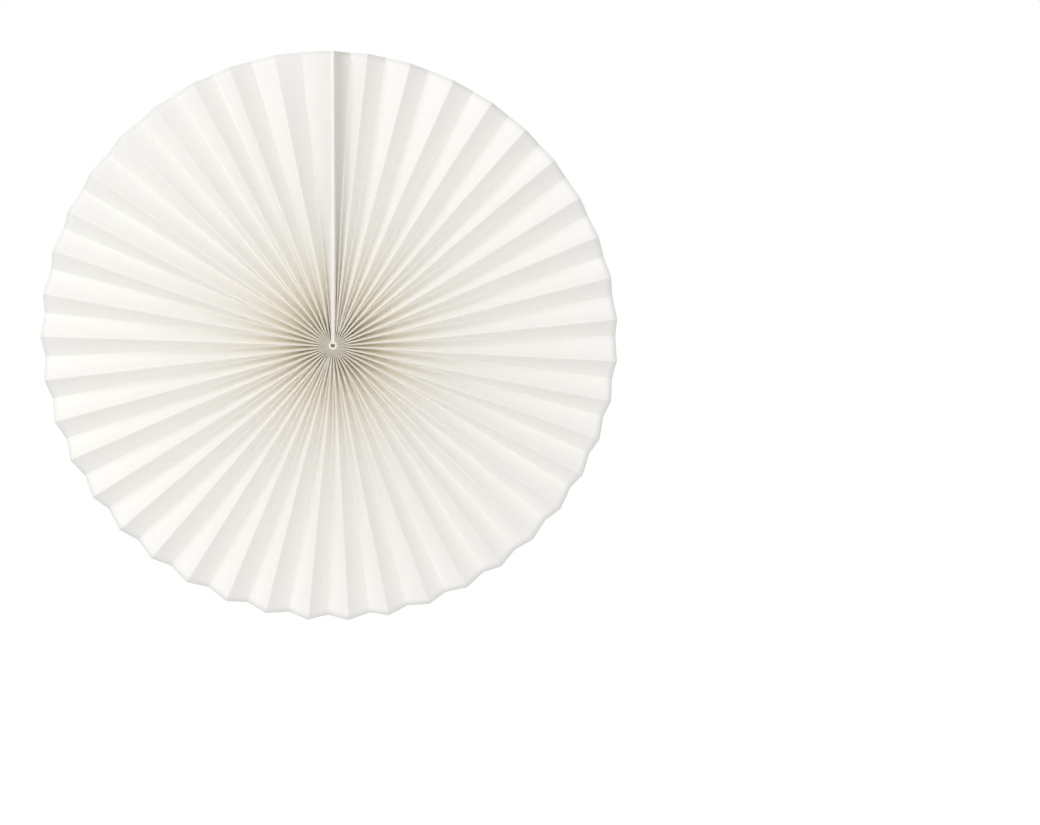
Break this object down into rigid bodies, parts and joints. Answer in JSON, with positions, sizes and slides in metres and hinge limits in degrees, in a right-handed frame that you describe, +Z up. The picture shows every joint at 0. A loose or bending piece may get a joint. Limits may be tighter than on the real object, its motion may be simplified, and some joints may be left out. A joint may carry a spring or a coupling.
{
  "type": "paper fan rosette",
  "caption": "Round white paper decoration: a pleated strip fanned into a full disc and joined along stiff end cards at the top.",
  "frame": {"origin": "middle of the hub, half way through the disc's depth", "axes": "+Z up along the seam of the two end cards, +X to the right seen from the front, -Y the front, so the disc's thin direction is Y"},
  "size_m": [0.4, 0.0202, 0.3999],
  "materials": {
    "paper": "uncoated off-white paper, matt",
    "card": "uncoated white card, matt",
    "tape": "thin double-sided adhesive tape",
    "glue": "dried craft glue"
  },
  "bodies": {
    "root": {"pleated_paper": "paper", "end_card_right": "card", "end_card_left": "card", "seam_tape": "tape", "hub_glue": "glue"}
  },
  "joints": []
}
